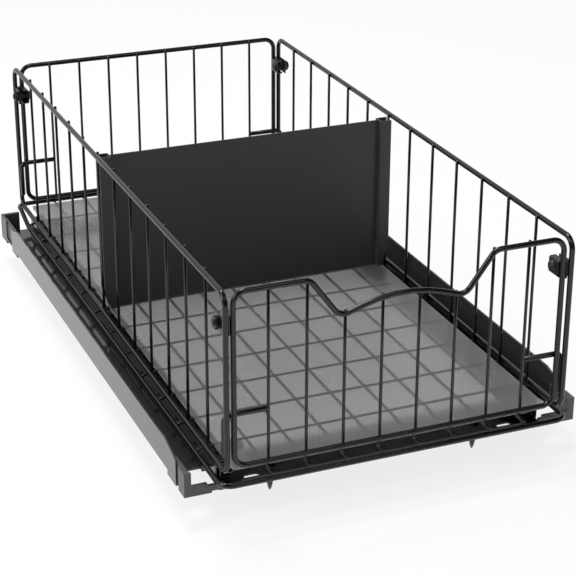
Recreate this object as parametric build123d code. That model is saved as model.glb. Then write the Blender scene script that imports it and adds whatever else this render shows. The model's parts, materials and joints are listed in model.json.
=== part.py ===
from build123d import *

import math
import os

# A pull-out cabinet basket: a welded wire basket with a lift-out divider rides on two
# three-part ball slides, in a low steel base that is screwed to the cabinet floor.
# Millimetres, +Z up. The front is at -Y. The origin is the middle of the base's footprint,
# on the plane that the base stands on.

# ---------------------------------------------------------------- driving dimensions

# Wire stock
rod_d = 4.0  # rims, posts and hooks
wire_d = 2.2  # bars of the panels and of the bottom grid
rod_sides = 8  # rods and wires are drawn with this many flats, for a light model
pin_sides = 12  # pins, heads and their holes are drawn with this many
weld_sink = 0.25  # how far crossing wires are pressed into each other
bar_tip = 1.6  # a panel bar's end past the axis of the rim
contact_gap = 0.2  # between loose pieces that bear on each other
cut_over = 1.0  # how far a cutter runs past what it cuts

# Basket
basket_width = 250.6  # between the planes of the side panels
basket_length = 529.8  # between the posts of a side panel
front_overhang = 19.7  # front posts ahead of the base's front edge
side_panel_height = 128.4  # bottom rod to top rod, on their axes
end_panel_height = 125.2
end_panel_raise = 4.0  # end panels hang higher than the side panels
post_spacing = 5.6  # end panel's post inside the side panel's post
post_stagger = 1.4  # end panel's plane inside the side panel's post
rim_bend_r = 9.0
end_bar_count = 8
end_bar_margin = 25.2  # post to first bar, on their axes
side_bar_count = 12
side_bar_margin = 44.2

# Dip of the front rim that serves as the handle
handle_width = 134.0  # between the bends at the top of the dip
handle_grip_width = 90.8  # between the bends at its bottom
handle_depth = 29.4
handle_arch_rise = 15.0
handle_bend_r = 9.0
handle_arch_r = 95.0

# Hooks of the end panels, which turn down behind the side panels' posts
hook_height = 64.3  # above the plane that the base stands on
hook_leg = 30.0
hook_bend_r = 5.0

# Bottom grid
grid_side_margin = 4.3  # grid's rim outside the side panels' planes
grid_end_margin = 1.8  # grid's rim beyond the side panels' posts
grid_corner_r = 9.0
grid_wire_overrun = 2.0  # ends of the long wires past the rim's axis
grid_over_slide = 0.7  # cross wires above the slides
crank_run = 6.5  # length over which a cross wire's end cranks down to the rim
rim_ramp_start = 8.0  # behind the rearmost cross wire, where the rim starts to rise
rim_ramp_run = 25.0  # length over which the rim rises, to pass over the slides at the back

# Corner clips, behind the posts, with a bolt and a nut in each
clip_height = 12.0
clip_drop = 22.7  # clip's middle below the side panels' top rods
clip_t = 1.2
clip_length = 12.5  # along Y
clip_out = 0.9  # outer leg's face outside the side panel's plane
clip_in = 0.4  # inner leg's face inside the end panel's post
clip_flange = 4.0
clip_bend_r = 1.5
clip_fin_t = 1.0  # fin between the two posts
clip_fin_run = 3.0
clip_bolt_d = 5.0
clip_bolt_back = 4.8  # bolt's axis from the clip's open end
clip_bolt_tip = 1.0  # bolt's end past its nut
clip_hole_play = 0.4
clip_head_d = 8.6
clip_head_h = 2.6
clip_head_bevel = 2.4
clip_nut_af = 8.0
clip_nut_h = 3.2
clip_nut_play = 0.1

# Liner
liner_t = 1.8
liner_side_gap = 6.8  # liner's edge inside the side panels' planes
liner_end_gap = 1.6
liner_corner_r = 3.0

# Divider
divider_bar = 5  # index of the side bar that it stands at, counted from the back
divider_t = 1.2
divider_height = 126.4
divider_channel_w = 10.2  # across the two legs that straddle a bar
divider_channel_d = 9.4
divider_side_gap = 0.5
divider_chamfer_w = 5.4
divider_chamfer_h = 17.0

# Base
base_length = 498.0
base_side = 23.3  # base's side outside the side panels' planes
rail_t = 1.2
rail_wall_top = 25.6
rail_flange_z = 3.7  # underside of the rail's flange
rail_lip_top = 11.0
rail_front_gap = 17.4  # base's front edge to the rail's wall
rail_end_top = 19.7  # height of the wall at its ends
rail_slope_run = 22.0
rail_foot = 17.6  # length of each foot under the wall
rail_back_gap = 37.0  # rail's wall to the base's back edge
flange_front_gap = 27.3  # base's front edge to the rail's flange
flange_corner_r = 6.0

# Cross bars, front and rear
bar_t = 1.2
bar_depth = 36.8  # along Y
bar_inset = 1.2  # bar behind the base's front edge
bar_lip_top = 4.9
bar_lip_gap = 2.8  # bar's lips end short of the slides
bar_tab_end = 4.0  # gap from the bar's end tab to the rail's wall
bar_tab_depth = 9.0
bar_slot_x = 97.0
bar_slot_y = 8.5  # slot's middle behind the bar's front edge
bar_slot_w = 5.0
bar_slot_l = 11.0
bar_slot_bevel = 1.5

# Floor screws
screw_spacing_x = 157.4
screw_spacing_y = 454.0
screw_d = 4.8
screw_neck_d = 4.2  # plain neck under the head
screw_neck_below = 0.5  # neck's end below the plane that the base stands on
screw_head_d = 9.0
screw_head_h = 2.6
screw_head_rim = 1.6  # height of the head's upright rim
screw_head_bevel = 1.4
screw_below = 20.5
screw_point = 6.0
screw_hole_clearance = 0.2

# End caps
cap_t = 3.0
cap_heel = 19.6  # front cap's part that reaches down to the floor, beside the cross bar
cap_side_t = 2.0
cap_side_run = 12.0
cap_leg_w = 5.0
cap_leg_h = 5.5
cap_top = 17.8
cap_inner_r = 4.5
cap_reach = 28.1  # from the rail's outer face inwards
cap_tongue_t = 3.2
cap_tongue_run = 20.0  # back cap's tongue, inside the rail
cap_tongue_drop = 1.0  # tongue's top below the rim that it stands behind
back_cap_top = 21.5
back_cap_reach = 16.1
back_cap_run = 18.5

# Slides
slide_length = 480.0
slide_height = 17.0
slide_width = 13.0
slide_inset = 2.0  # slide's back inside the side panel's plane
slide_wall = 1.0
slide_bend_r = 1.4
outer_depth = 11.0
middle_setback = 3.1  # middle member's web from the outer member's back
middle_depth = 8.7
inner_depth = 7.2
race_gap = 1.8  # between two nested flanges
ball_d = 2.4
ball_clearance = 0.08
balls_per_row = 4
ball_pitch = 56.0
ball_x_in = 8.3  # ball row from the outer member's back
cage_t = 0.5
cage_length = 196.0
cage_tip_gap = 0.6  # cage's edge inside the outer member's edge
rivet_d = 3.0
rivet_head_d = 5.6
rivet_head_h = 1.2
rivet_clearance = 0.1
rivet_pitch = 180.0

# Brackets that carry the basket on the slides
bracket_t = 1.2
bracket_width = 16.0
bracket_reach = 13.0  # arm, from the slide's face inwards
bracket_corner_r = 7.0
bracket_screw_d = 3.0
bracket_hole_play = 0.2
bracket_head_d = 6.0
bracket_head_h = 1.8

# ---------------------------------------------------------------- levels and places

base_front = -base_length / 2
base_back = base_length / 2
half_base = basket_width / 2 + base_side

slide_bottom = bar_t
slide_top = slide_bottom + slide_height
slide_mid_z = (slide_bottom + slide_top) / 2

cross_wire_z = slide_top + grid_over_slide + wire_d / 2
long_wire_z = cross_wire_z - wire_d + weld_sink
grid_rim_z = long_wire_z - (rod_d + wire_d) / 2 + weld_sink
grid_back_rim_z = long_wire_z + (rod_d + wire_d) / 2 - weld_sink
grid_top = cross_wire_z + wire_d / 2

side_bottom_z = grid_top + contact_gap + rod_d / 2
side_top_z = side_bottom_z + side_panel_height
end_bottom_z = side_bottom_z + end_panel_raise
end_top_z = end_bottom_z + end_panel_height
clip_z = side_top_z - clip_drop

basket_front = base_front - front_overhang
basket_back = basket_front + basket_length
half_basket = basket_width / 2
front_panel_y = basket_front + post_stagger
back_panel_y = basket_back - post_stagger
half_end = half_basket - post_spacing

weld_offset = (rod_d + wire_d) / 2 - weld_sink  # rim's axis to bar's axis
hook_offset = rod_d - weld_sink  # rim's axis to hook's axis

end_bar_pitch = (2 * half_end - 2 * end_bar_margin) / (end_bar_count - 1)
end_bars = [end_bar_pitch * (i - (end_bar_count - 1) / 2) for i in range(end_bar_count)]
side_bar_pitch = (basket_length - 2 * side_bar_margin) / (side_bar_count - 1)
side_bars = [basket_back - side_bar_margin - side_bar_pitch * i for i in range(side_bar_count)]

half_grid = half_basket + grid_side_margin
grid_front = basket_front - grid_end_margin
grid_back = basket_back + grid_end_margin

liner_bottom = grid_top + contact_gap
liner_top = liner_bottom + liner_t
half_liner = half_basket - liner_side_gap

rail_inner_x = half_base - rail_t  # inner face of the rail's wall
slide_back_x = half_basket - slide_inset  # back of the slide's outer member
slide_front_x = slide_back_x - slide_width  # face that the basket is fixed to
lip_outer_x = slide_back_x + rail_t
bar_lip_half = slide_front_x - bar_lip_gap
ball_x = slide_back_x - ball_x_in

middle_height = slide_height - 2 * (slide_wall + race_gap)
inner_height = middle_height - 2 * (slide_wall + race_gap)
outer_row_z = slide_height / 2 - slide_wall - race_gap / 2
inner_row_z = middle_height / 2 - slide_wall - race_gap / 2


# ---------------------------------------------------------------- helpers


def flat_section(diameter, sides):
    """Section of a rod or pin: flats square to the axes, touching the true circle."""
    return RegularPolygon(diameter / 2, sides, major_radius=False, rotation=180 / sides)


def straight_rod(start, end, diameter):
    """A rod between two points."""
    run = Vector(end) - Vector(start)
    section = flat_section(diameter, rod_sides)
    return extrude(Plane(origin=start, z_dir=run) * section, amount=run.length)


def swept_rod(path, diameter):
    """A rod along a path, mitred where the path has a corner."""
    section = flat_section(diameter, rod_sides)
    placed = Plane(origin=path @ 0, z_dir=path % 0) * section
    return sweep(placed, path=path, transition=Transition.RIGHT)


def pin(start, end, diameter):
    """A pin between two points, for shanks, heads and holes."""
    run = Vector(end) - Vector(start)
    section = flat_section(diameter, pin_sides)
    return extrude(Plane(origin=start, z_dir=run) * section, amount=run.length)


def bevelled_head(base, direction, diameter, rise, bevel):
    """The crown of a head, which narrows by its bevel all round over its rise."""
    slope = math.degrees(math.atan2(bevel, rise))
    section = flat_section(diameter, pin_sides)
    return extrude(Plane(origin=base, z_dir=direction) * section, amount=rise, taper=slope)


def block(x_range, y_range, z_range):
    """A box between three pairs of coordinates."""
    size = [max(pair) - min(pair) for pair in (x_range, y_range, z_range)]
    low = [min(pair) for pair in (x_range, y_range, z_range)]
    return Pos(*low) * Box(*size, align=(Align.MIN, Align.MIN, Align.MIN))


def flat_outline(plane, points):
    """A face with straight sides, from points on a plane."""
    return make_face(Polyline(*[plane.from_local_coords(point) for point in points], close=True))


def other_side(part):
    """The same piece on the right-hand side."""
    return mirror(part, about=Plane.YZ)


def other_end(part):
    """The same piece at the back."""
    return mirror(part, about=Plane.XZ)


def group(solids):
    """Several loose solids that share one node."""
    return Compound([solid for item in solids for solid in item.solids()])


# ---------------------------------------------------------------- wire panels


def rim_path(plane, outline, radii):
    """A closed path of straight runs and bends, on a plane."""
    corners = [plane.from_local_coords(point) for point in outline]
    return FilletPolyline(*corners, radius=radii, close=True)


def wire_panel(plane, inner, path, bars):
    """A rim of bent rod, with bars welded across its inner side."""
    lift = inner * weld_offset
    rods = [swept_rod(path, rod_d)]
    for position, low, high in bars:
        ends = [plane.from_local_coords((position, height, lift)) for height in (low, high)]
        rods.append(straight_rod(ends[0], ends[1], wire_d))
    return rods[0].fuse(*rods[1:])


def side_panel(side):
    """Left or right panel: a plain rounded rectangle with upright bars."""
    plane = Plane(origin=(side * half_basket, 0, 0), x_dir=(0, 1, 0), z_dir=(1, 0, 0))
    outline = [
        (basket_front, side_bottom_z),
        (basket_back, side_bottom_z),
        (basket_back, side_top_z),
        (basket_front, side_top_z),
    ]
    bars = [(y, side_bottom_z - bar_tip, side_top_z + bar_tip) for y in side_bars]
    return wire_panel(plane, -side, rim_path(plane, outline, rim_bend_r), bars)


def height_of_top(path, x):
    """Height of a rim's axis above x, on its top run, found by halving."""
    low, high = 0.0, 0.45  # the path starts at the right end of the top run
    for _ in range(30):
        middle = (low + high) / 2
        if (path @ middle).X > x:
            low = middle
        else:
            high = middle
    return (path @ low).Z


def hook(side, panel_y, inward):
    """A rod from an end panel's outer bar past its post, turned down behind the side panel's."""
    y = panel_y + inward * hook_offset
    corner = (side * half_basket, y, hook_height)
    tip = (side * half_basket, y, hook_height - hook_leg)
    path = FilletPolyline((side * end_bars[-1], y, hook_height), corner, tip, radius=hook_bend_r)
    return swept_rod(path, rod_d)


def end_panel(panel_y, inward, top_outline, top_radii):
    """Front or back panel: a closed rim whose top run is given, bars and two hooks."""
    plane = Plane(origin=(0, panel_y, 0), x_dir=(1, 0, 0), z_dir=(0, -1, 0))
    corners = [(-half_end, end_bottom_z), (half_end, end_bottom_z)]
    outline = [(half_end, end_top_z)] + top_outline + [(-half_end, end_top_z)] + corners
    radii = [rim_bend_r] + top_radii + [rim_bend_r] * 3
    path = rim_path(plane, outline, radii)
    bars = [(x, end_bottom_z - bar_tip, height_of_top(path, x) + bar_tip) for x in end_bars]
    panel = wire_panel(plane, -inward, path, bars)
    return panel.fuse(*[hook(side, panel_y, inward) for side in (-1, 1)])


def front_panel():
    """The front panel, whose top rod dips to an arched handle."""
    low = end_top_z - handle_depth
    top_outline = [
        (handle_width / 2, end_top_z),
        (handle_grip_width / 2, low),
        (0, low + handle_arch_rise),
        (-handle_grip_width / 2, low),
        (-handle_width / 2, end_top_z),
    ]
    top_radii = [handle_bend_r, handle_bend_r, handle_arch_r, handle_bend_r, handle_bend_r]
    return end_panel(front_panel_y, 1, top_outline, top_radii)


def back_panel():
    """The back panel, with a plain straight top rod."""
    return end_panel(back_panel_y, -1, [], [])


# ---------------------------------------------------------------- bottom grid


def base_grid():
    """The basket's bottom: long wires on a rim that rises at the back, and cross wires."""
    ramp_start = side_bars[0] + rim_ramp_start
    ramp_end = ramp_start + rim_ramp_run
    right_run = [
        (half_grid, grid_front, grid_rim_z),
        (half_grid, ramp_start, grid_rim_z),
        (half_grid, ramp_end, grid_back_rim_z),
        (half_grid, grid_back, grid_back_rim_z),
    ]
    left_run = [(-x, y, z) for x, y, z in reversed(right_run)]
    rim = FilletPolyline(*right_run, *left_run, radius=grid_corner_r, close=True)
    rods = [swept_rod(rim, rod_d)]
    front_end = grid_front - grid_wire_overrun
    back_end = grid_back + grid_wire_overrun
    for x in end_bars:
        rods.append(straight_rod((x, front_end, long_wire_z), (x, back_end, long_wire_z), wire_d))
    crank_x = half_grid - crank_run
    end_x = half_grid + rod_d / 4
    for y in side_bars:
        path = Polyline(
            (-end_x, y, long_wire_z),
            (-crank_x, y, cross_wire_z),
            (crank_x, y, cross_wire_z),
            (end_x, y, long_wire_z),
        )
        rods.append(swept_rod(path, wire_d))
    return rods[0].fuse(*rods[1:])


# ---------------------------------------------------------------- corner clips


def clip_spans():
    """Front left clip: X of its outer and inner faces, Y of its front wall and open end."""
    outer = -half_basket - clip_out
    inner = -half_end + rod_d / 2 + clip_in
    front = front_panel_y + rod_d / 2 + contact_gap
    return outer, inner, front, front + clip_length


def corner_clip():
    """Front left clip: folded steel behind both posts, with a fin that parts them."""
    outer, inner, front, back = clip_spans()
    height = (0, clip_height)
    inner_leg = block((inner - clip_t, inner), (front, back), height)
    for z in (0, clip_height - clip_t):
        inner_leg += block((inner - clip_t - clip_flange, inner), (front, back), (z, z + clip_t))
    inner_leg = fillet(inner_leg.edges().filter_by(Axis.Y).sort_by(Axis.X)[-2:], clip_bend_r)
    clip = inner_leg + block((outer, outer + clip_t), (front, back), height)
    clip += block((outer, inner - clip_t), (front, front + clip_t), height)
    fin_x = -(half_basket + half_end) / 2
    fin = (fin_x - clip_fin_t / 2, fin_x + clip_fin_t / 2)
    clip += block(fin, (front - clip_fin_run, front), height)
    clip = Pos(0, 0, clip_z - clip_height / 2) * clip
    hole_start = (outer - cut_over, clip_bolt_y(), clip_z)
    hole_end = (inner + cut_over, clip_bolt_y(), clip_z)
    return clip - pin(hole_start, hole_end, clip_bolt_d + clip_hole_play)


def clip_bolt_y():
    """Y of the clip's bolt."""
    return clip_spans()[3] - clip_bolt_back


def clip_bolt():
    """Bolt of the front left clip: low head on the inner side."""
    outer, inner, _, _ = clip_spans()
    seat = (inner, clip_bolt_y(), clip_z)
    tip = (outer - clip_nut_h - clip_bolt_tip, clip_bolt_y(), clip_z)
    head = bevelled_head(seat, (1, 0, 0), clip_head_d, clip_head_h, clip_head_bevel)
    return pin(tip, seat, clip_bolt_d) + head


def clip_nut():
    """Hexagon nut of the front left clip, on the outer side."""
    outer = clip_spans()[0]
    seat = (outer, clip_bolt_y(), clip_z)
    bore_end = (outer - clip_nut_h - cut_over, clip_bolt_y(), clip_z)
    face = Plane(origin=seat, x_dir=(0, 1, 0), z_dir=(-1, 0, 0))
    nut = extrude(face * RegularPolygon(clip_nut_af / 2, 6, major_radius=False), amount=clip_nut_h)
    return nut - pin(bore_end, seat, clip_bolt_d + clip_nut_play)


def at_corners(piece):
    """The front left piece at all four corners of the basket."""
    middle = Plane(origin=(0, (basket_front + basket_back) / 2, 0), x_dir=(1, 0, 0), z_dir=(0, -1, 0))
    behind = mirror(piece, about=middle)
    return [piece, other_side(piece), behind, other_side(behind)]


# ---------------------------------------------------------------- liner and divider


def liner():
    """A thin plastic sheet that lies on the grid's cross wires."""
    front = front_panel_y + weld_offset + wire_d / 2 + liner_end_gap
    back = back_panel_y - weld_offset - wire_d / 2 - liner_end_gap
    sheet = block((-half_liner, half_liner), (front, back), (liner_bottom, liner_top))
    return fillet(sheet.edges().filter_by(Axis.Z), liner_corner_r)


def divider():
    """A sheet across the basket, whose ends are channels that straddle a bar on each side."""
    y = side_bars[divider_bar]
    end_x = half_basket - rod_d / 2 - divider_side_gap
    web_x = end_x - divider_channel_d
    bottom = liner_top + contact_gap / 2
    top = bottom + divider_height
    t = divider_t
    half_w = divider_channel_w / 2
    profile = Pos(0, y) * Rectangle(2 * web_x, t)
    for side in (-1, 1):
        web = Pos(side * (web_x + t / 2), y) * Rectangle(t, 2 * half_w)
        profile += web
        for leg in (-1, 1):
            middle_x = side * (web_x + end_x) / 2
            profile += Pos(middle_x, y + leg * (half_w - t / 2)) * Rectangle(end_x - web_x, t)
    sheet = extrude(Pos(0, 0, bottom) * profile, amount=top - bottom)
    for side in (-1, 1):
        corner = [
            (side * (end_x - divider_chamfer_w), bottom - cut_over),
            (side * (end_x + cut_over), bottom - cut_over),
            (side * (end_x + cut_over), bottom + divider_chamfer_h),
            (side * end_x, bottom + divider_chamfer_h),
            (side * (end_x - divider_chamfer_w), bottom),
        ]
        behind = Plane(origin=(0, y + half_w + cut_over, 0), x_dir=(1, 0, 0), z_dir=(0, -1, 0))
        cutter = extrude(flat_outline(behind, corner), amount=2 * (half_w + cut_over), dir=(0, -1, 0))
        sheet -= cutter
    return sheet


# ---------------------------------------------------------------- base frame


def left_rail():
    """Left rail: tall outer wall on two feet, flange and an upturned inner lip."""
    wall_front = base_front + rail_front_gap
    wall_back = base_back - rail_back_gap
    foot_back = wall_front + rail_foot
    rear_foot = wall_back - rail_foot
    outline = [
        (wall_front, 0),
        (wall_front, rail_end_top),
        (wall_front + rail_slope_run, rail_wall_top),
        (wall_back - rail_slope_run, rail_wall_top),
        (wall_back, rail_end_top),
        (wall_back, 0),
        (rear_foot, 0),
        (rear_foot, rail_flange_z),
        (foot_back, rail_flange_z),
        (foot_back, 0),
    ]
    plane = Plane(origin=(-half_base, 0, 0), x_dir=(0, 1, 0), z_dir=(1, 0, 0))
    wall = extrude(flat_outline(plane, outline), amount=rail_t, dir=(1, 0, 0))
    flange_front = base_front + flange_front_gap
    flange_back = base_back - cap_t - contact_gap
    flange_z = (rail_flange_z, rail_flange_z + rail_t)
    flange = block((-half_base, -slide_back_x), (flange_front, flange_back), flange_z)
    inner_corner = flange.edges().filter_by(Axis.Z).sort_by(Axis.Y)[:2].sort_by(Axis.X)[-1]
    flange = fillet(inner_corner, flange_corner_r)
    lip = block(
        (-lip_outer_x, -slide_back_x),
        (flange_front + flange_corner_r, slide_length / 2),
        (rail_flange_z, rail_lip_top),
    )
    rail = wall + flange + lip
    for y in rivet_places():
        rail -= rivet_hole(y, -lip_outer_x - cut_over, -slide_back_x + cut_over)
    return rail


def rivet_hole(y, x_start, x_end):
    """A hole for a rivet, between two places along X."""
    return pin((x_start, y, rivet_z()), (x_end, y, rivet_z()), rivet_d + 2 * rivet_clearance)


def rivet_z():
    """Height of the rivets: midway up the rail's lip, above its flange."""
    return (rail_flange_z + rail_t + rail_lip_top) / 2


def rivet_places():
    """Y of each rivet along a rail."""
    return [rivet_pitch * i for i in (-1, 0, 1)]


def slide_rivets():
    """Rivets that hold both slides' outer members to the rails' lips."""
    rivets = []
    for y in rivet_places():
        z = rivet_z()
        shank = pin((-lip_outer_x, y, z), (-slide_back_x + slide_wall, y, z), rivet_d)
        head_x = -lip_outer_x - rivet_head_h
        rivet = shank + pin((head_x, y, z), (-lip_outer_x, y, z), rivet_head_d)
        rivets += [rivet, other_side(rivet)]
    return group(rivets)


def front_cross_bar():
    """Front cross bar: a pressed strip on the cabinet floor, with stepped end tabs."""
    front = base_front + bar_inset
    back = front + bar_depth
    tab_x = rail_inner_x - bar_tab_end
    tab_z = (rail_flange_z - bar_t, rail_flange_z)
    riser_x = lip_outer_x + bar_t
    bar = block((-slide_back_x, slide_back_x), (front, back), (0, bar_t))
    bar += block((-bar_lip_half, bar_lip_half), (front, front + bar_t), (0, bar_lip_top))
    bar += block((-bar_lip_half, bar_lip_half), (back - bar_t, back), (0, bar_lip_top))
    for side in (-1, 1):
        tab_y = (back - bar_tab_depth, back)
        bar += block((0, side * riser_x), tab_y, (0, bar_t))
        bar += block((side * lip_outer_x, side * riser_x), tab_y, (0, rail_flange_z))
        bar += block((side * lip_outer_x, side * tab_x), tab_y, tab_z)
        slot = Rectangle(bar_slot_l, bar_slot_w)
        slot = chamfer(slot.vertices(), bar_slot_bevel)
        slot_at = Pos(side * bar_slot_x, front + bar_slot_y, -cut_over)
        bar -= extrude(slot_at * slot, amount=bar_t + 2 * cut_over)
        x = side * screw_spacing_x / 2
        y = -screw_spacing_y / 2
        hole_d = screw_d + 2 * screw_hole_clearance
        bar -= pin((x, y, -cut_over), (x, y, bar_t + cut_over), hole_d)
    return bar


def floor_screw():
    """Wood screw through the front left hole: point, round shank, neck and pan head."""
    outline = [
        (0, -screw_below),
        (screw_d / 2, -screw_below + screw_point),
        (screw_d / 2, -screw_neck_below),
        (0, -screw_neck_below),
    ]
    rim_top = (0, 0, bar_t + screw_head_rim)
    crown_h = screw_head_h - screw_head_rim
    screw = revolve(flat_outline(Plane.XZ, outline), axis=Axis.Z)
    screw += pin((0, 0, -screw_neck_below), (0, 0, bar_t), screw_neck_d)
    screw += pin((0, 0, bar_t), rim_top, screw_head_d)
    screw += bevelled_head(rim_top, (0, 0, 1), screw_head_d, crown_h, screw_head_bevel)
    return Pos(-screw_spacing_x / 2, -screw_spacing_y / 2) * screw


def floor_screws():
    """The four screws that hold the base to the cabinet floor."""
    left = floor_screw()
    screws = [left, other_side(left)]
    screws += [other_end(screw) for screw in screws]
    return group(screws)


def front_cap():
    """Front left end cap: an L-shaped face, a side skirt and a tongue inside the rail."""
    outer = -half_base
    front = base_front
    face = Pos(outer + cap_leg_w / 2, cap_top / 2) * Rectangle(cap_leg_w, cap_top)
    face += Pos(outer + cap_reach / 2, cap_leg_h / 2) * Rectangle(cap_reach, cap_leg_h)
    corner = (outer + cap_leg_w, cap_leg_h, 0)
    face = fillet(face.vertices().sort_by_distance(corner)[0], cap_inner_r)
    placed = Plane(origin=(0, front, 0), x_dir=(1, 0, 0), z_dir=(0, -1, 0)) * face
    cap = extrude(placed, amount=-cap_t)
    side_y = (front, front + cap_side_run)
    cap += block((outer, outer + cap_side_t), side_y, (0, cap_top))
    cap += block((outer, outer + cap_heel), side_y, (0, cap_side_t))
    tongue_y = (front, front + flange_front_gap - contact_gap)
    cap += block(tongue_across(), tongue_y, (0, cap_top - cap_tongue_drop))
    step_x = (outer + cap_heel, outer + cap_reach + cut_over)
    step_y = (front - cut_over, front + cap_side_run + cut_over)
    return cap - block(step_x, step_y, (-cut_over, bar_t + contact_gap))


def back_cap():
    """Back left end cap: a plate across the rail's end, a side skirt and a tongue."""
    outer = -half_base
    back = base_back
    plate_x = (outer, outer + back_cap_reach)
    cap = block(plate_x, (back - cap_t, back), (0, back_cap_top))
    skirt_y = (back - back_cap_run, back)
    above = rail_flange_z + rail_t + contact_gap
    below = rail_flange_z - contact_gap
    for skirt_z in ((0, below), (above, back_cap_top)):
        cap += block((outer, outer + cap_side_t), skirt_y, skirt_z)
    tongue_y = (back - rail_back_gap - cap_tongue_run, back - cap_t)
    cap += block(tongue_across(), tongue_y, (above, rail_end_top - cap_tongue_drop))
    return cap


def tongue_across():
    """X of a left cap's tongue, inside the rail's wall."""
    start = -half_base + rail_t + contact_gap
    return start, start + cap_tongue_t


# ---------------------------------------------------------------- ball slides


def channel(back_x, opens, depth, height):
    """A bent channel along Y: its web at back_x, its flanges towards opens (-1 or 1)."""
    middle_x = back_x + opens * depth / 2
    outside = Pos(middle_x, 0) * Rectangle(depth, height)
    bend = outside.vertices().sort_by(Axis.X)
    bend = bend[:2] if opens > 0 else bend[-2:]
    outside = fillet(bend, slide_bend_r)
    inside = Pos(middle_x + opens * slide_wall, 0) * Rectangle(depth, height - 2 * slide_wall)
    return extrude_slide(outside - inside, slide_length)


def extrude_slide(profile, length):
    """A profile of the slide, drawn round its middle height, as a bar along Y."""
    plane = Plane(origin=(0, -length / 2, slide_mid_z), x_dir=(1, 0, 0), z_dir=(0, -1, 0))
    return extrude(plane * profile, amount=-length)


def ball_races(row_z):
    """Round grooves that the balls run in, as bars to cut away."""
    circles = [Pos(-ball_x, side * row_z) * Circle(ball_d / 2 + ball_clearance) for side in (-1, 1)]
    return extrude_slide(Sketch() + circles, slide_length + 2 * cut_over)


def outer_member():
    """Left slide's outer member, riveted to the rail."""
    member = channel(-slide_back_x, 1, outer_depth, slide_height) - ball_races(outer_row_z)
    for y in rivet_places():
        member -= rivet_hole(y, -slide_back_x - cut_over, -slide_back_x + slide_wall + cut_over)
    return member


def middle_member():
    """Left slide's middle member, which runs on balls inside the outer one."""
    member = channel(-slide_back_x + middle_setback, 1, middle_depth, middle_height)
    return member - ball_races(outer_row_z) - ball_races(inner_row_z)


def inner_member():
    """Left slide's inner member, fixed to the basket's brackets."""
    member = channel(-slide_front_x, -1, inner_depth, inner_height) - ball_races(inner_row_z)
    for y in bracket_places():
        start = (-slide_front_x - slide_wall - cut_over, y, slide_mid_z)
        end = (-slide_front_x + cut_over, y, slide_mid_z)
        member -= pin(start, end, bracket_screw_d + bracket_hole_play)
    return member


def ball_places():
    """Y of each ball in a row."""
    return [ball_pitch * (i - (balls_per_row - 1) / 2) for i in range(balls_per_row)]


def ball_cage(row_z, web_x):
    """Left slide's cage: two strips between the flanges, joined by a web."""
    tip_x = -slide_back_x + outer_depth - cage_tip_gap
    profile = Pos(web_x, 0) * Rectangle(cage_t, 2 * row_z + cage_t)
    for side in (-1, 1):
        profile += Pos((web_x + tip_x) / 2, side * row_z) * Rectangle(tip_x - web_x, cage_t)
    cage = extrude_slide(profile, cage_length)
    half_window = ball_d / 2 + ball_clearance
    window_x = (-ball_x - half_window, -ball_x + half_window)
    window_z = (slide_mid_z - row_z - cage_t, slide_mid_z + row_z + cage_t)
    for y in ball_places():
        cage -= block(window_x, (y - half_window, y + half_window), window_z)
    return cage


def ball():
    """One ball, drawn with flats: a cube cut back until its corners lie on the sphere."""
    half_edge = ball_d / 2 / math.sqrt(5 + 2 * math.sqrt(2))
    across = 2 * half_edge * (1 + math.sqrt(2))
    cube = Box(across, across, across)
    return chamfer(cube.edges(), half_edge * math.sqrt(2))


def balls(row_z):
    """The balls of one cage of the left slide."""
    spots = [(-ball_x, y, slide_mid_z + side * row_z) for y in ball_places() for side in (-1, 1)]
    return group([Pos(*spot) * ball() for spot in spots])


# ---------------------------------------------------------------- brackets


def bracket_places():
    """Y of the front and back brackets, under the outermost cross wires."""
    return [side_bars[-1], side_bars[0]]


def grid_bracket(y):
    """Left bracket: screwed to the slide's inner member, its arm under a cross wire."""
    arm_top = cross_wire_z - wire_d / 2 - contact_gap / 2
    face_x = -slide_front_x
    half_w = bracket_width / 2
    foot_z = slide_mid_z - inner_height / 2
    leg = block((face_x, face_x + bracket_t), (y - half_w, y + half_w), (foot_z, arm_top))
    arm_z = (arm_top - bracket_t, arm_top)
    arm = block((face_x, face_x + bracket_reach), (y - half_w, y + half_w), arm_z)
    arm = fillet(arm.edges().filter_by(Axis.Z).sort_by(Axis.X)[-2:], bracket_corner_r)
    hole_start = (face_x - cut_over, y, slide_mid_z)
    hole_end = (face_x + bracket_t + cut_over, y, slide_mid_z)
    return leg + arm - pin(hole_start, hole_end, bracket_screw_d + bracket_hole_play)


def bracket_screws():
    """Screws that fix the four brackets to the slides' inner members."""
    screws = []
    tip_x = -slide_front_x - slide_wall
    head_x = -slide_front_x + bracket_t
    z = slide_mid_z
    for y in bracket_places():
        shank = pin((tip_x, y, z), (head_x, y, z), bracket_screw_d)
        head = pin((head_x, y, z), (head_x + bracket_head_h, y, z), bracket_head_d)
        screw = shank + head
        screws += [screw, other_side(screw)]
    return group(screws)


# ---------------------------------------------------------------- assembly

os.makedirs("parts", exist_ok=True)

outer_web_gap_x = -slide_back_x + (slide_wall + middle_setback) / 2
inner_web_gap_x = (-slide_back_x + middle_setback + slide_wall - slide_front_x - inner_depth) / 2
front_left_clip, front_right_clip, back_left_clip, back_right_clip = at_corners(corner_clip())

left_nodes = {
    "rail": left_rail(),
    "slide_outer_member": outer_member(),
    "slide_middle_member": middle_member(),
    "slide_inner_member": inner_member(),
    "outer_ball_cage": ball_cage(outer_row_z, outer_web_gap_x),
    "inner_ball_cage": ball_cage(inner_row_z, inner_web_gap_x),
    "outer_balls": balls(outer_row_z),
    "inner_balls": balls(inner_row_z),
    "front_grid_bracket": grid_bracket(bracket_places()[0]),
    "back_grid_bracket": grid_bracket(bracket_places()[1]),
    "front_cap": front_cap(),
    "back_cap": back_cap(),
}

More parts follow.
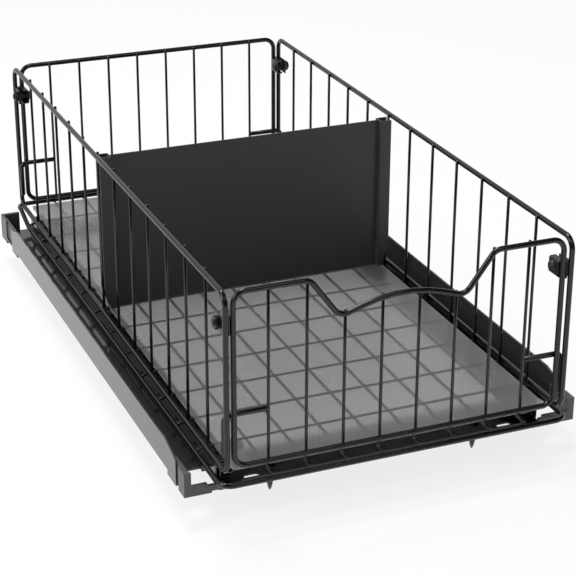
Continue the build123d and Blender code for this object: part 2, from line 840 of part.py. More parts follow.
nodes = {
    "front_cross_bar": front_cross_bar(),
    "back_cross_bar": other_end(front_cross_bar()),
    "floor_screws": floor_screws(),
    "slide_rivets": slide_rivets(),
    "bracket_screws": bracket_screws(),
    "base_grid": base_grid(),
    "front_panel": front_panel(),
    "back_panel": back_panel(),
    "left_panel": side_panel(-1),
    "right_panel": side_panel(1),
    "front_left_clip": front_left_clip,
    "front_right_clip": front_right_clip,
    "back_left_clip": back_left_clip,
    "back_right_clip": back_right_clip,
    "clip_bolts": group(at_corners(clip_bolt())),
    "clip_nuts": group(at_corners(clip_nut())),
    "liner": liner(),
    "divider": divider(),
}
for name, part in left_nodes.items():
    nodes["left_" + name] = part
    nodes["right_" + name] = other_side(part)

for name, part in nodes.items():
    export_step(part, os.path.join("parts", name + ".step"))
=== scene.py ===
import json
import math

import bmesh
import bpy
from mathutils import Matrix, Quaternion, Vector


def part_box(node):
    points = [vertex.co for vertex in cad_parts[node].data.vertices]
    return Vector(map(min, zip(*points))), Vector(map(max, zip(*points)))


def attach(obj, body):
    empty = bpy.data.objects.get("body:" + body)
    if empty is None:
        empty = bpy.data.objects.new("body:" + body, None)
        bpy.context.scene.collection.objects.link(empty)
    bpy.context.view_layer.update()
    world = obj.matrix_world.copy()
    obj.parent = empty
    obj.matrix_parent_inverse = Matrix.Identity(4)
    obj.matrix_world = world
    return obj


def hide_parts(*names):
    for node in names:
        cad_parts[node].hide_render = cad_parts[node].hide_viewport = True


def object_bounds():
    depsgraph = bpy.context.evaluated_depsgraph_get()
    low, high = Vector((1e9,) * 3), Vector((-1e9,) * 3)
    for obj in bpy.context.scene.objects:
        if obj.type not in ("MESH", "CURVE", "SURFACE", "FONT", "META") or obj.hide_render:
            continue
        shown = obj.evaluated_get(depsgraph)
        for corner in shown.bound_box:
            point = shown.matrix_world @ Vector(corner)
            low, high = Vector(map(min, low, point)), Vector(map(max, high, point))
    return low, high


# Looks of the pull-out cabinet basket: smooth round wire, real fastener shapes and
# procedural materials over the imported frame. Metres, in the frame's own axes.

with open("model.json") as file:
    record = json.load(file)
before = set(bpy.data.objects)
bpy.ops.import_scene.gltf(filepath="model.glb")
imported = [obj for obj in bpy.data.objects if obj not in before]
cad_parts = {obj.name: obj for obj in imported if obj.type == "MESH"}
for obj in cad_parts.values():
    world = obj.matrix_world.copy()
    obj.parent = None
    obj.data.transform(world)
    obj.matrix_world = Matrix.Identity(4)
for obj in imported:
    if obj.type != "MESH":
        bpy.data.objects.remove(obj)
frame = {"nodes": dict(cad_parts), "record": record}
cad_low, cad_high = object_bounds()
nodes = frame["nodes"]

# ---------------------------------------------------------------- sizes, in metres

ROD_R = 0.0020
WIRE_R = 0.0011
WELD_SINK = 0.00025
BAR_TIP = 0.0016  # a bar's end past the axis of the rim
RIM_BEND = 0.009
WIRE_BEND = 0.004
CRANK_RUN = 0.0065
GRID_END_PAST = 0.0010  # end of a cross wire past the grid rim's axis
RAMP_START = 0.008  # behind the rearmost cross wire, where the grid's rim starts to rise
RAMP_RUN = 0.025

POST_SPACING = 0.0056  # end panel's post inside the side panel's plane
END_BAR_COUNT = 8
END_BAR_MARGIN = 0.0252
SIDE_BAR_COUNT = 12
SIDE_BAR_MARGIN = 0.0442

HANDLE_WIDTH = 0.134
HANDLE_GRIP_WIDTH = 0.0908
HANDLE_DEPTH = 0.0294
HANDLE_ARCH_RISE = 0.015
HANDLE_BEND = 0.009
HANDLE_ARCH_R = 0.095

HOOK_Z = 0.0643
HOOK_LEG = 0.030
HOOK_BEND = 0.005

ARC_STEP = math.radians(9)  # turn between two points of a bend
TUBE_RESOLUTION = 5
CUT_END = 0.0003  # small bevel that a sheared wire end has

SCREW_R = 0.0024
SCREW_NECK_R = 0.0021
SCREW_NECK_Z = -0.0005
SCREW_CORE_R = 0.0019
SCREW_PITCH = 0.0021
SCREW_POINT = 0.006
SCREW_TIP_R = 0.0001
SCREW_HEAD_R = 0.0045
SCREW_HEAD_H = 0.0026
SCREW_RECESS_R = 0.0016
SCREW_RECESS_DEPTH = 0.0013
# Pan head from its seat up: share of its height, share of its radius
SCREW_HEAD = [(0, 0.62), (0, 1.0), (0.55, 1.0), (0.8, 0.9), (0.95, 0.72), (1.0, 0.55)]

BOLT_R = 0.0025
BOLT_HEAD_H = 0.0026
BOLT_PITCH = 0.0008
BOLT_CORE_R = 0.86 * BOLT_R
BOLT_TIP_R = 0.8 * BOLT_R
BOLT_CROWN = 0.02  # flat on top of the dome, as a share of the head's radius
DOME_STEP = 10  # degrees between two rings of the dome
NUT_PLAY = 0.00005
NUT_CHAMFER = 0.0006
NUT_FACE = 0.96  # radius of a nut's end face, as a share of half its width
BALL_R = 0.0012

THREAD_FLANK = 3.2  # slope of a thread's flanks, where 2 would leave no flat root
THREAD_STEPS = 90
TURNED_SIDES = 24
NUT_SIDES = 48
SHARP_ANGLE = math.radians(35)

PHOTO_SIZE = 576  # pixels along each side of the picture

# ---------------------------------------------------------------- places, from the frame


def panel_levels():
    """The planes and axes of the wire panels, read from the boxes of their nodes."""
    side_low, side_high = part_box("left_panel")
    front_low, front_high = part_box("front_panel")
    _, back_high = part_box("back_panel")
    grid_low, grid_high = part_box("base_grid")
    return {
        "side_x": -side_low.x - ROD_R,
        "front": side_low.y + ROD_R,
        "back": side_high.y - ROD_R,
        "side_bottom": side_low.z + ROD_R,
        "side_top": side_high.z - ROD_R,
        "end_bottom": front_low.z + ROD_R,
        "end_top": front_high.z - ROD_R,
        "front_y": front_low.y + ROD_R,
        "back_y": back_high.y - ROD_R,
        "grid_x": -grid_low.x - ROD_R,
        "grid_front": grid_low.y + ROD_R,
        "grid_back": grid_high.y - ROD_R,
        "grid_z": grid_low.z + ROD_R,
        "cross_z": grid_high.z - WIRE_R,
    }


LEVEL = panel_levels()
HALF_END = LEVEL["side_x"] - POST_SPACING
WELD_OFFSET = ROD_R + WIRE_R - WELD_SINK
HOOK_OFFSET = 2 * ROD_R - WELD_SINK


def spread(middle, half_span, count):
    """Evenly spaced places about a middle."""
    return [middle + half_span * (2 * i / (count - 1) - 1) for i in range(count)]


END_BARS = spread(0.0, HALF_END - END_BAR_MARGIN, END_BAR_COUNT)
BASKET_MID = (LEVEL["front"] + LEVEL["back"]) / 2
BASKET_HALF = (LEVEL["back"] - LEVEL["front"]) / 2
SIDE_BARS = spread(BASKET_MID, BASKET_HALF - SIDE_BAR_MARGIN, SIDE_BAR_COUNT)


def solid_boxes(node):
    """Box of each loose solid of a CAD node, in a fixed order."""
    mesh = bmesh.new()
    mesh.from_mesh(nodes[node].data)
    bmesh.ops.remove_doubles(mesh, verts=mesh.verts, dist=1e-6)
    left = set(mesh.verts)
    boxes = []
    while left:
        queue = [left.pop()]
        found = list(queue)
        while queue:
            for edge in queue.pop().link_edges:
                for vert in edge.verts:
                    if vert in left:
                        left.remove(vert)
                        queue.append(vert)
                        found.append(vert)
        low = Vector([min(v.co[axis] for v in found) for axis in range(3)])
        high = Vector([max(v.co[axis] for v in found) for axis in range(3)])
        boxes.append((low, high))
    mesh.free()
    return sorted(boxes, key=lambda pair: [round(c, 5) for c in pair[0]])


# ---------------------------------------------------------------- rods and wires


def bend(before, corner, after, radius):
    """Points of the arc that rounds one corner of a path."""
    back = (before - corner).normalized()
    ahead = (after - corner).normalized()
    turn = math.pi - back.angle(ahead)
    if turn < 1e-4:
        return [corner]
    start = corner + back * radius * math.tan(turn / 2)
    centre = corner + (back + ahead).normalized() * radius / math.cos(turn / 2)
    axis = (start - centre).cross(corner - start).normalized()
    steps = max(2, math.ceil(turn / ARC_STEP))
    spin = [Quaternion(axis, turn * i / steps) for i in range(steps + 1)]
    return [centre + q @ (start - centre) for q in spin]


def rounded(corners, radii, closed):
    """A path through corners, with an arc of its own radius at each."""
    points = [Vector(c) for c in corners]
    count = len(points)
    path = []
    for i, corner in enumerate(points):
        if not closed and i in (0, count - 1):
            path.append(corner)
        else:
            path += bend(points[i - 1], corner, points[(i + 1) % count], radii[i])
    return path


def wire_piece(name, body, node, runs):
    """Round rods and wires as one piece. A run is (points, radius, closed)."""
    curve = bpy.data.curves.new(name, "CURVE")
    curve.dimensions = "3D"
    curve.bevel_depth = ROD_R
    curve.bevel_resolution = TUBE_RESOLUTION
    curve.use_fill_caps = True
    for points, radius, closed in runs:
        scale = radius / ROD_R
        weights = [scale] * len(points)
        if not closed:
            points, weights = with_cut_ends(points, scale)
        spline = curve.splines.new("POLY")
        spline.points.add(len(points) - 1)
        for point, place, weight in zip(spline.points, points, weights):
            point.co = (*place, 1.0)
            point.radius = weight
        spline.use_cyclic_u = closed
        spline.use_smooth = True
    piece = bpy.data.objects.new(name, curve)
    bpy.context.scene.collection.objects.link(piece)
    curve.materials.append(MATERIAL["black_wire"])
    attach(piece, body)
    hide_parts(node)
    return piece


def with_cut_ends(points, scale):
    """An open path and its weights, with a small bevel at both ends."""
    first = points[0] + (points[1] - points[0]).normalized() * CUT_END
    last = points[-1] + (points[-2] - points[-1]).normalized() * CUT_END
    small = scale - CUT_END / ROD_R
    path = [points[0], first] + points[1:-1] + [last, points[-1]]
    return path, [small] + [scale] * (len(path) - 2) + [small]


def bar(start, end):
    """A straight wire."""
    return [Vector(start), Vector(end)], WIRE_R, False


def side_panel(name, side):
    """Left or right panel: a rounded rectangle and its upright bars."""
    x = side * LEVEL["side_x"]
    inner = x - side * WELD_OFFSET
    low, high = LEVEL["side_bottom"], LEVEL["side_top"]
    corners = [(x, LEVEL["front"], low), (x, LEVEL["back"], low)]
    corners += [(x, LEVEL["back"], high), (x, LEVEL["front"], high)]
    runs = [(rounded(corners, [RIM_BEND] * 4, True), ROD_R, True)]
    for y in SIDE_BARS:
        runs.append(bar((inner, y, low - BAR_TIP), (inner, y, high + BAR_TIP)))
    return wire_piece(name + "_wires", "basket", name, runs)


def height_at(path, x):
    """Height of a rim's top run above x."""
    heights = []
    for a, b in zip(path, path[1:]):
        if min(a.x, b.x) <= x <= max(a.x, b.x) and a.x != b.x:
            heights.append(a.z + (b.z - a.z) * (x - a.x) / (b.x - a.x))
    return max(heights)


def end_panel(name, y, inward, top, top_radii):
    """Front or back panel: the rim, its bars and its two hooks."""
    low, high = LEVEL["end_bottom"], LEVEL["end_top"]
    corners = [(-HALF_END, y, low), (HALF_END, y, low), (HALF_END, y, high)]
    corners += [(x, y, z) for x, z in top]
    corners.append((-HALF_END, y, high))
    radii = [RIM_BEND] * 3 + top_radii + [RIM_BEND]
    rim = rounded(corners, radii, True)
    runs = [(rim, ROD_R, True)]
    bar_y = y + inward * WELD_OFFSET
    for x in END_BARS:
        top_z = height_at(rim, x) + BAR_TIP
        runs.append(bar((x, bar_y, low - BAR_TIP), (x, bar_y, top_z)))
    hook_y = y + inward * HOOK_OFFSET
    for side in (-1, 1):
        x = side * LEVEL["side_x"]
        hook = [(side * END_BARS[-1], hook_y, HOOK_Z), (x, hook_y, HOOK_Z)]
        hook.append((x, hook_y, HOOK_Z - HOOK_LEG))
        runs.append((rounded(hook, [0, HOOK_BEND, 0], False), ROD_R, False))
    return wire_piece(name + "_wires", "basket", name, runs)


def handle_outline():
    """Corners and radii of the front rim's dip, from right to left."""
    high = LEVEL["end_top"]
    low = high - HANDLE_DEPTH
    corners = [
        (HANDLE_WIDTH / 2, high),
        (HANDLE_GRIP_WIDTH / 2, low),
        (0.0, low + HANDLE_ARCH_RISE),
        (-HANDLE_GRIP_WIDTH / 2, low),
        (-HANDLE_WIDTH / 2, high),
    ]
    return corners, [HANDLE_BEND, HANDLE_BEND, HANDLE_ARCH_R, HANDLE_BEND, HANDLE_BEND]


def base_grid():
    """Bottom grid: flat rim, long wires on it and cranked cross wires over those."""
    x, front, back = LEVEL["grid_x"], LEVEL["grid_front"], LEVEL["grid_back"]
    rim_z, cross_z = LEVEL["grid_z"], LEVEL["cross_z"]
    long_z = cross_z - 2 * WIRE_R + WELD_SINK
    back_z = long_z + WELD_OFFSET
    ramp_start = SIDE_BARS[-1] + RAMP_START
    ramp_end = ramp_start + RAMP_RUN
    right_run = [(x, front, rim_z), (x, ramp_start, rim_z), (x, ramp_end, back_z), (x, back, back_z)]
    corners = right_run + [(-px, py, pz) for px, py, pz in reversed(right_run)]
    runs = [(rounded(corners, [RIM_BEND] * len(corners), True), ROD_R, True)]
    for bar_x in END_BARS:
        runs.append(bar((bar_x, front - ROD_R, long_z), (bar_x, back + ROD_R, long_z)))
    end_x, crank_x = x + GRID_END_PAST, x - CRANK_RUN
    for y in SIDE_BARS:
        corners = [(-end_x, y, long_z), (-crank_x, y, cross_z)]
        corners += [(crank_x, y, cross_z), (end_x, y, long_z)]
        runs.append((rounded(corners, [0, WIRE_BEND, WIRE_BEND, 0], False), WIRE_R, False))
    return wire_piece("base_grid_wires", "basket", "base_grid", runs)


# ---------------------------------------------------------------- turned and threaded pieces


def mesh_piece(name, body, node, slot, build):
    """A mesh piece that stands for a CAD node: build(bm) fills it."""
    mesh = bmesh.new()
    build(mesh)
    bmesh.ops.recalc_face_normals(mesh, faces=mesh.faces)
    data = bpy.data.meshes.new(name)
    mesh.to_mesh(data)
    mesh.free()
    piece = bpy.data.objects.new(name, data)
    bpy.context.scene.collection.objects.link(piece)
    data.materials.append(MATERIAL[slot])
    shade_by_angle(data)
    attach(piece, body)
    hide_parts(node)
    return piece


def shade_by_angle(data):
    """Smooth shading, with sharp edges where two faces meet at more than SHARP_ANGLE."""
    for face in data.polygons:
        face.use_smooth = True
    data.set_sharp_from_angle(angle=SHARP_ANGLE)


def ring_rows(mesh, place, rings, sides):
    """Rows of vertices round an axis. A ring is (height, radius at a turn)."""
    rows = []
    for height, radius in rings:
        row = []
        for i in range(sides):
            turn = 2 * math.pi * i / sides
            r = radius(turn)
            row.append(mesh.verts.new(place @ Vector((r * math.cos(turn), r * math.sin(turn), height))))
        rows.append(row)
    return rows


def join_rows(mesh, lower, upper):
    """A band of faces between two rows of vertices."""
    sides = len(lower)
    for i in range(sides):
        j = (i + 1) % sides
        mesh.faces.new((lower[i], lower[j], upper[j], upper[i]))


def add_rings(mesh, place, rings, sides):
    """Closed skin through rings, with a flat face at both ends."""
    rows = ring_rows(mesh, place, rings, sides)
    for lower, upper in zip(rows, rows[1:]):
        join_rows(mesh, lower, upper)
    mesh.faces.new(list(reversed(rows[0])))
    mesh.faces.new(rows[-1])


def add_tube(mesh, place, rings, sides):
    """Skin whose last ring joins its first, so the piece has a bore."""
    rows = ring_rows(mesh, place, rings, sides)
    for lower, upper in zip(rows, rows[1:] + rows[:1]):
        join_rows(mesh, lower, upper)


def along(origin, direction):
    """Matrix that takes +Z at the origin to a direction at a place."""
    turn = Vector((0, 0, 1)).rotation_difference(Vector(direction))
    return Matrix.Translation(origin) @ turn.to_matrix().to_4x4()


def thread_radius(height, turn, core, outer, pitch):
    """Radius of a screw thread at a height and a turn round the axis."""
    phase = (height / pitch - turn / (2 * math.pi)) % 1.0
    ridge = max(0.0, 1.0 - abs(phase - 0.5) * THREAD_FLANK)
    return core + (outer - core) * ridge


def floor_screws(mesh):
    """Wood screws: pointed threaded shanks under pan heads with a square recess."""
    for low, high in solid_boxes("floor_screws"):
        x, y = (low.x + high.x) / 2, (low.y + high.y) / 2
        seat = high.z - SCREW_HEAD_H
        rings = [(low.z, lambda turn: SCREW_TIP_R)]
        for i in range(1, THREAD_STEPS + 1):
            z = low.z + (seat - low.z) * i / THREAD_STEPS
            grow = min(1.0, (z - low.z) / SCREW_POINT) ** 0.5
            core, outer = SCREW_CORE_R * grow, SCREW_R * grow

            def ring(turn, z=z, core=core, outer=outer):
                if z > SCREW_NECK_Z:
                    return SCREW_NECK_R
                return thread_radius(z, turn, core, outer, SCREW_PITCH)

            rings.append((z, ring))
        for rise, width in SCREW_HEAD:
            rings.append((seat + rise * SCREW_HEAD_H, lambda turn, w=width: w * SCREW_HEAD_R))
        for depth in (0.0, SCREW_RECESS_DEPTH):
            rings.append((high.z - depth, lambda turn: square_radius(turn, SCREW_RECESS_R)))
        add_rings(mesh, Matrix.Translation((x, y, 0)), rings, TURNED_SIDES)


def square_radius(turn, half):
    """Radius of a square socket, in a direction."""
    return half / max(abs(math.cos(turn)), abs(math.sin(turn)))


def clip_bolts(mesh):
    """Domed bolts of the corner clips, with a threaded shank."""
    for low, high in solid_boxes("clip_bolts"):
        side = 1 if low.x > 0 else -1
        centre = (low + high) / 2
        tip_x = high.x if side > 0 else low.x
        length = high.x - low.x
        head_r = (high.z - low.z) / 2
        place = along((tip_x, centre.y, centre.z), (-side, 0, 0))
        rings = [(0.0, lambda turn: BOLT_TIP_R)]
        base = length - BOLT_HEAD_H
        for i in range(1, THREAD_STEPS):
            z = base * i / THREAD_STEPS

            def ring(turn, z=z):
                return thread_radius(z, turn, BOLT_CORE_R, BOLT_R, BOLT_PITCH)

            rings.append((z, ring))
        rings.append((base, lambda turn: BOLT_R))
        for angle in range(0, 90, DOME_STEP):
            lean = math.radians(angle)
            r, z = head_r * math.cos(lean), base + BOLT_HEAD_H * math.sin(lean)
            rings.append((z, lambda turn, r=r: r))
        rings.append((length, lambda turn: head_r * BOLT_CROWN))
        add_rings(mesh, place, rings, TURNED_SIDES)


def clip_nuts(mesh):
    """Hexagon nuts with chamfered corners and a bore."""
    for low, high in solid_boxes("clip_nuts"):
        side = 1 if low.x > 0 else -1
        centre = (low + high) / 2
        thick = high.x - low.x
        outer_x = high.x if side > 0 else low.x
        flat = min(high.y - low.y, high.z - low.z) / 2
        place = along((outer_x, centre.y, centre.z), (-side, 0, 0))
        bore = BOLT_R + NUT_PLAY

        def hexagon(turn):
            step = math.pi / 3
            lean = (turn + step / 2) % step - step / 2
            return flat / math.cos(lean)

        rings = [
            (NUT_CHAMFER, lambda turn: bore),
            (0.0, lambda turn: bore + NUT_CHAMFER / 2),
            (0.0, lambda turn: flat * NUT_FACE),
            (NUT_CHAMFER, hexagon),
            (thick - NUT_CHAMFER, hexagon),
            (thick, lambda turn: flat * NUT_FACE),
            (thick, lambda turn: bore + NUT_CHAMFER / 2),
            (thick - NUT_CHAMFER, lambda turn: bore),
        ]
        add_tube(mesh, place, rings, NUT_SIDES)


def ball_row(node):
    """A builder of the smooth balls of one cage."""

    def build(mesh):
        for low, high in solid_boxes(node):
            place = Matrix.Translation((low + high) / 2)
            bmesh.ops.create_icosphere(mesh, subdivisions=3, radius=BALL_R, matrix=place)

    return build


# ---------------------------------------------------------------- materials


class Paint:
    """A Principled material under construction."""

    def __init__(self, name, **values):
        self.mat = bpy.data.materials.new(name)
        self.mat.use_nodes = True
        self.tree = self.mat.node_tree
        self.bsdf = self.tree.nodes["Principled BSDF"]
        for key, value in values.items():
            self.bsdf.inputs[key.replace("_", " ")].default_value = value
        self.where = self.node("ShaderNodeTexCoord").outputs["Object"]
        self.normal = None

    def node(self, kind, **settings):
        item = self.tree.nodes.new(kind)
        for key, value in settings.items():
            setattr(item, key, value)
        return item

    def link(self, source, target):
        self.tree.links.new(source, target)

    def noise(self, size, detail=3.0, stretch=(1, 1, 1)):
        """Noise whose features are about size metres across."""
        mapping = self.node("ShaderNodeMapping")
        self.link(self.where, mapping.inputs["Vector"])
        mapping.inputs["Scale"].default_value = [1 / (size * s) for s in stretch]
        noise = self.node("ShaderNodeTexNoise")
        self.link(mapping.outputs["Vector"], noise.inputs["Vector"])
        noise.inputs["Scale"].default_value = 1.0
        noise.inputs["Detail"].default_value = detail
        return noise.outputs["Fac"]

    def ramp(self, source, low, high, lo_in=0.35, hi_in=0.65):
        """A value from low to high as the source goes from lo_in to hi_in."""
        node = self.node("ShaderNodeMapRange")
        self.link(source, node.inputs["Value"])
        node.inputs["From Min"].default_value = lo_in
        node.inputs["From Max"].default_value = hi_in
        node.inputs["To Min"].default_value = low
        node.inputs["To Max"].default_value = high
        return node.outputs["Result"]

    def mix(self, factor, first, second):
        """A colour between two colours or sockets."""
        node = self.node("ShaderNodeMix", data_type="RGBA")
        self.link(factor, node.inputs["Factor"])
        a, b = [s for s in node.inputs if s.type == "RGBA"]
        for socket, value in ((a, first), (b, second)):
            if isinstance(value, bpy.types.NodeSocket):
                self.link(value, socket)
            else:
                socket.default_value = (*value, 1.0)
        return [s for s in node.outputs if s.type == "RGBA"][0]

    def bump(self, source, depth):
        """Adds relief of a depth in metres."""
        node = self.node("ShaderNodeBump")
        node.inputs["Distance"].default_value = depth
        self.link(source, node.inputs["Height"])
        if self.normal is not None:
            self.link(self.normal, node.inputs["Normal"])
        self.normal = node.outputs["Normal"]
        return self

    def round_edges(self, radius):
        """Softens the shading of edges, and returns where the edges are."""
        bevel = self.node("ShaderNodeBevel", samples=4)
        bevel.inputs["Radius"].default_value = radius
        self.normal = bevel.outputs["Normal"]
        geometry = self.node("ShaderNodeNewGeometry")
        dot = self.node("ShaderNodeVectorMath", operation="DOT_PRODUCT")
        self.link(bevel.outputs["Normal"], dot.inputs[0])
        self.link(geometry.outputs["Normal"], dot.inputs[1])
        return self.ramp(dot.outputs["Value"], 1.0, 0.0, 0.75, 0.98)

    def upright(self):
        """1 on upright faces, such as the cut edges of a flat sheet, else 0."""
        geometry = self.node("ShaderNodeNewGeometry")
        parts = self.node("ShaderNodeSeparateXYZ")
        self.link(geometry.outputs["True Normal"], parts.inputs[0])
        size = self.node("ShaderNodeMath", operation="ABSOLUTE")
        self.link(parts.outputs["Z"], size.inputs[0])
        return self.ramp(size.outputs[0], 1.0, 0.0, 0.3, 0.6)

    def set(self, key, source):
        self.link(source, self.bsdf.inputs[key])
        return self

    def done(self):
        if self.normal is not None:
            self.link(self.normal, self.bsdf.inputs["Normal"])
        return self.mat


def powder_coat(name, tone, edge_highlight, rough_low, rough_high):
    """Black coat on steel: fine orange peel, uneven gloss and a painted highlight along the edges."""
    paint = Paint(name, Specular_IOR_Level=0.5)
    edge = paint.round_edges(0.0004)
    patches = paint.noise(0.030, 4.0)
    peel = paint.noise(0.0012, 2.0)
    # The lighter second tone along the edges is a painted highlight.
    paint.set("Base Color", paint.mix(edge, tone, edge_highlight))
    paint.set("Roughness", paint.ramp(patches, rough_low, rough_high))
    paint.bump(peel, 0.000012)
    return paint.done()


def gloss_enamel(name, tone, edge_highlight, rough_low, rough_high):
    """Rails and slides: a thin gloss coat with faint drawing lines along the steel."""
    paint = Paint(name, IOR=1.6, Specular_IOR_Level=0.5)
    edge = paint.round_edges(0.0004)
    patches = paint.noise(0.060, 3.0)
    lines = paint.noise(0.0010, 2.0, (1, 60, 1))
    # The much lighter second tone along the edges and folds is a painted highlight.
    paint.set("Base Color", paint.mix(edge, tone, edge_highlight))
    paint.set("Roughness", paint.ramp(patches, rough_low, rough_high))
    paint.bump(lines, 0.0000015)
    return paint.done()


def moulded_plastic(name):
    """End caps: fine-grained dark plastic."""
    paint = Paint(name, Specular_IOR_Level=0.5)
    edge = paint.round_edges(0.0006)
    grain = paint.noise(0.0007, 3.0)
    cloud = paint.noise(0.012, 3.0)
    tone = paint.mix(paint.ramp(cloud, 0.0, 1.0), (0.085, 0.085, 0.087), (0.100, 0.100, 0.102))
    # The lighter tone along the edges is a painted highlight.
    paint.set("Base Color", paint.mix(edge, tone, (0.16, 0.16, 0.162)))
    paint.set("Roughness", paint.ramp(grain, 0.36, 0.48))
    paint.bump(grain, 0.000030)
    return paint.done()


def divider_coat(name):
    """Divider: satin black sheet with a faint texture and a painted highlight along its edges."""
    paint = Paint(name, Specular_IOR_Level=0.45)
    edge = paint.round_edges(0.0005)
    patches = paint.noise(0.080, 4.0)
    grain = paint.noise(0.0006, 2.0)
    tone = paint.mix(paint.ramp(patches, 0.0, 1.0), (0.048, 0.048, 0.051), (0.052, 0.052, 0.055))
    # The lighter tone along the edges is a painted highlight.
    paint.set("Base Color", paint.mix(edge, tone, (0.060, 0.060, 0.062)))
    paint.set("Roughness", paint.ramp(patches, 0.42, 0.52))
    paint.bump(grain, 0.000020)
    return paint.done()


def smoky_sheet(name):
    """Liner: smoky see-through sheet, frosted enough to blur what lies under it."""
    paint = Paint(name, Transmission_Weight=0.74, IOR=1.20)
    cloud = paint.noise(0.120, 3.0)
    grain = paint.noise(0.0009, 2.0)
    tone = paint.mix(paint.ramp(cloud, 0.0, 1.0), (0.36, 0.36, 0.362), (0.39, 0.39, 0.392))
    # Upright cut edges are painted near white: a painted glint along the sheet's edge.
    paint.set("Base Color", paint.mix(paint.upright(), tone, (0.85, 0.85, 0.85)))
    paint.set("Roughness", paint.ramp(cloud, 0.26, 0.31))
    paint.bump(grain, 0.000001)
    return paint.done()


EDGE_HIGHLIGHT_GAIN = 1.5  # tone of the painted highlight on a steel edge against its faces


def bare_steel(name, tone, rough_low, rough_high, grain_size, stretch=(1, 1, 1)):
    """Plated or bare steel with fine lines and uneven gloss."""
    paint = Paint(name, Metallic=1.0)
    edge = paint.round_edges(0.0003)
    lines = paint.noise(grain_size, 3.0, stretch)
    # The brighter tone along the edges is a painted highlight.
    bright = tuple(min(1.0, c * EDGE_HIGHLIGHT_GAIN) for c in tone)
    paint.set("Base Color", paint.mix(edge, tone, bright))
    paint.set("Roughness", paint.ramp(lines, rough_low, rough_high))
    paint.bump(lines, 0.000004)
    return paint.done()


MATERIAL = {
    "black_wire": powder_coat("black_wire", (0.004, 0.004, 0.0042), (0.03, 0.03, 0.031), 0.14, 0.22),
    "clip_steel": powder_coat("clip_steel", (0.010, 0.010, 0.0105), (0.07, 0.07, 0.071), 0.28, 0.40),
    "bar_steel": powder_coat("bar_steel", (0.008, 0.008, 0.0085), (0.06, 0.06, 0.061), 0.22, 0.34),
    "slide_steel": gloss_enamel("slide_steel", (0.006, 0.006, 0.0065), (0.25, 0.25, 0.252), 0.10, 0.18),
    "divider_steel": divider_coat("divider_steel"),
    "liner_plastic": smoky_sheet("liner_plastic"),
    "rail_steel": gloss_enamel("rail_steel", (0.045, 0.045, 0.0455), (0.32, 0.32, 0.322), 0.06, 0.11),
    "cap_plastic": moulded_plastic("cap_plastic"),
    "cage_steel": bare_steel("cage_steel", (0.42, 0.42, 0.43), 0.25, 0.38, 0.0008, (1, 30, 1)),
    "ball_steel": bare_steel("ball_steel", (0.70, 0.70, 0.71), 0.08, 0.14, 0.0010),
    "fastener_steel": bare_steel("fastener_steel", (0.10, 0.10, 0.105), 0.28, 0.42, 0.0006),
}


def paint_nodes():
    """Gives each CAD node that still shows the material of its slot."""
    slots = {item["node"]: item["material_slot"] for item in frame["record"]["subparts"]}
    for name, item in nodes.items():
        item.data.materials.clear()
        item.data.materials.append(MATERIAL[slots[name]])


# ---------------------------------------------------------------- stage

FLOOR_Z = cad_low.z
CAMERA_PLACE = Vector((-0.4725, -1.2145, 0.6021))
CAMERA_AZIMUTH = math.radians(22.4)
CAMERA_ELEVATION = math.radians(23.84)
CAMERA_ROLL = math.radians(0.17)
FOCAL_PIXELS = 1764.4
SENSOR = 36.0
CAMERA_REACH = 50


def add_camera():
    """A camera at the picture's own place and angle."""
    camera = bpy.data.cameras.new("camera")
    camera.sensor_width = SENSOR
    camera.lens = FOCAL_PIXELS / PHOTO_SIZE * SENSOR
    camera.clip_end = CAMERA_REACH
    item = bpy.data.objects.new("camera", camera)
    bpy.context.scene.collection.objects.link(item)
    spin = Matrix.Rotation(-CAMERA_AZIMUTH, 4, "Z")
    tilt = Matrix.Rotation(math.pi / 2 - CAMERA_ELEVATION, 4, "X")
    roll = Matrix.Rotation(CAMERA_ROLL, 4, "Z")
    item.matrix_world = Matrix.Translation(CAMERA_PLACE) @ spin @ tilt @ roll
    bpy.context.scene.camera = item


def ray_is(tree, *kinds):
    """1 for rays of any of these kinds, else 0."""
    path = tree.nodes.new("ShaderNodeLightPath")
    total = path.outputs[f"Is {kinds[0]} Ray"]
    for kind in kinds[1:]:
        most = tree.nodes.new("ShaderNodeMath")
        most.operation = "MAXIMUM"
        tree.links.new(total, most.inputs[0])
        tree.links.new(path.outputs[f"Is {kind} Ray"], most.inputs[1])
        total = most.outputs[0]
    return total


FLOOR_SIZE = 12.0
FLOOR_SHADOW = 0.22  # share of the floor's own shading that shows, the rest is white
FLOOR_TONE = 0.92
FLOOR_GLOW = 1.04


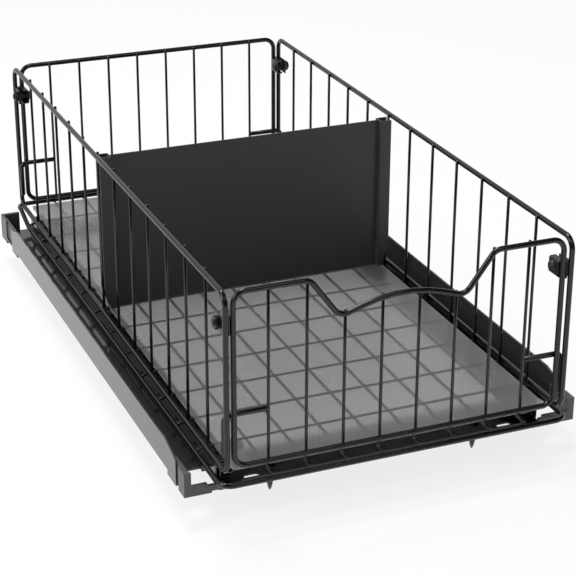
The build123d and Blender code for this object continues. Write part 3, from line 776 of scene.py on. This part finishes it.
def add_floor():
    """A plain white floor that keeps a soft shadow."""
    data = bpy.data.meshes.new("floor")
    half = FLOOR_SIZE / 2
    turns = ((-1, -1), (1, -1), (1, 1), (-1, 1))
    corners = [(x * half, y * half, FLOOR_Z) for x, y in turns]
    data.from_pydata(corners, [], [(0, 1, 2, 3)])
    floor = bpy.data.objects.new("floor", data)
    bpy.context.scene.collection.objects.link(floor)
    mat = bpy.data.materials.new("floor")
    mat.use_nodes = True
    tree = mat.node_tree
    tree.nodes.clear()
    diffuse = tree.nodes.new("ShaderNodeBsdfDiffuse")
    diffuse.inputs["Color"].default_value = (FLOOR_TONE, FLOOR_TONE, FLOOR_TONE, 1)
    glow = tree.nodes.new("ShaderNodeEmission")
    glow.inputs["Strength"].default_value = FLOOR_GLOW
    blend = tree.nodes.new("ShaderNodeMixShader")
    share = tree.nodes.new("ShaderNodeMath")
    share.operation = "MULTIPLY"
    share.inputs[1].default_value = 1 - FLOOR_SHADOW
    tree.links.new(ray_is(tree, "Camera", "Glossy", "Transmission"), share.inputs[0])
    tree.links.new(share.outputs[0], blend.inputs["Fac"])
    tree.links.new(diffuse.outputs[0], blend.inputs[1])
    tree.links.new(glow.outputs[0], blend.inputs[2])
    output = tree.nodes.new("ShaderNodeOutputMaterial")
    tree.links.new(blend.outputs[0], output.inputs["Surface"])
    data.materials.append(mat)


ROOM_DARK = 0.10  # behind the camera
ROOM_BRIGHT = 0.95  # behind the object and to its left
ROOM_LEAN = (-0.5, 0.85, 0.0)  # towards the bright side
ROOM_FADE = (-0.2, 0.6)  # where the grade starts and ends along ROOM_LEAN


def add_world():
    """A studio that is bright behind the object and dark behind the camera."""
    world = bpy.data.worlds.new("studio")
    bpy.context.scene.world = world
    world.use_nodes = True
    tree = world.node_tree
    tree.nodes.clear()
    where = tree.nodes.new("ShaderNodeTexCoord")
    lean = tree.nodes.new("ShaderNodeVectorMath")
    lean.operation = "DOT_PRODUCT"
    lean.inputs[1].default_value = ROOM_LEAN
    grade = tree.nodes.new("ShaderNodeMapRange")
    grade.interpolation_type = "SMOOTHSTEP"
    grade.inputs["From Min"].default_value = ROOM_FADE[0]
    grade.inputs["From Max"].default_value = ROOM_FADE[1]
    grade.inputs["To Min"].default_value = ROOM_DARK
    grade.inputs["To Max"].default_value = ROOM_BRIGHT
    tree.links.new(where.outputs["Generated"], lean.inputs[0])
    tree.links.new(lean.outputs["Value"], grade.inputs["Value"])
    soft = tree.nodes.new("ShaderNodeBackground")
    tree.links.new(grade.outputs["Result"], soft.inputs["Strength"])
    white = tree.nodes.new("ShaderNodeBackground")
    blend = tree.nodes.new("ShaderNodeMixShader")
    tree.links.new(ray_is(tree, "Camera", "Transmission"), blend.inputs["Fac"])
    tree.links.new(soft.outputs[0], blend.inputs[1])
    tree.links.new(white.outputs[0], blend.inputs[2])
    output = tree.nodes.new("ShaderNodeOutputWorld")
    tree.links.new(blend.outputs[0], output.inputs["Surface"])


LAMP_TARGET = Vector((0, 0, 0.05))


def add_softbox(name, place, width, height, power):
    """A rectangular lamp that faces LAMP_TARGET."""
    lamp = bpy.data.lights.new(name, "AREA")
    lamp.shape = "RECTANGLE"
    lamp.size, lamp.size_y = width, height
    lamp.energy = power
    item = bpy.data.objects.new(name, lamp)
    bpy.context.scene.collection.objects.link(item)
    item.location = place
    item.rotation_euler = (LAMP_TARGET - Vector(place)).to_track_quat("-Z", "Y").to_euler()


# ---------------------------------------------------------------- build

side_panel("left_panel", -1)
side_panel("right_panel", 1)
end_panel("front_panel", LEVEL["front_y"], 1, *handle_outline())
end_panel("back_panel", LEVEL["back_y"], -1, [], [])
base_grid()

mesh_piece("floor_screws_turned", "base", "floor_screws", "fastener_steel", floor_screws)
mesh_piece("clip_bolts_turned", "basket", "clip_bolts", "clip_steel", clip_bolts)
mesh_piece("clip_nuts_turned", "basket", "clip_nuts", "clip_steel", clip_nuts)
for side_name in ("left", "right"):
    for row_name in ("outer", "inner"):
        ball_node = f"{side_name}_{row_name}_balls"
        ball_body = f"{side_name}_{row_name}_cage"
        mesh_piece(ball_node + "_round", ball_body, ball_node, "ball_steel", ball_row(ball_node))

paint_nodes()
bpy.context.scene.view_settings.view_transform = "Standard"
add_camera()
add_floor()
add_world()
add_softbox("top", (-0.2, 0.5, 2.0), 0.8, 0.35, 20)
add_softbox("left", (-2.0, -0.3, 1.3), 0.5, 1.2, 16)
add_softbox("front", (0.3, -1.6, 1.9), 1.4, 0.35, 7)
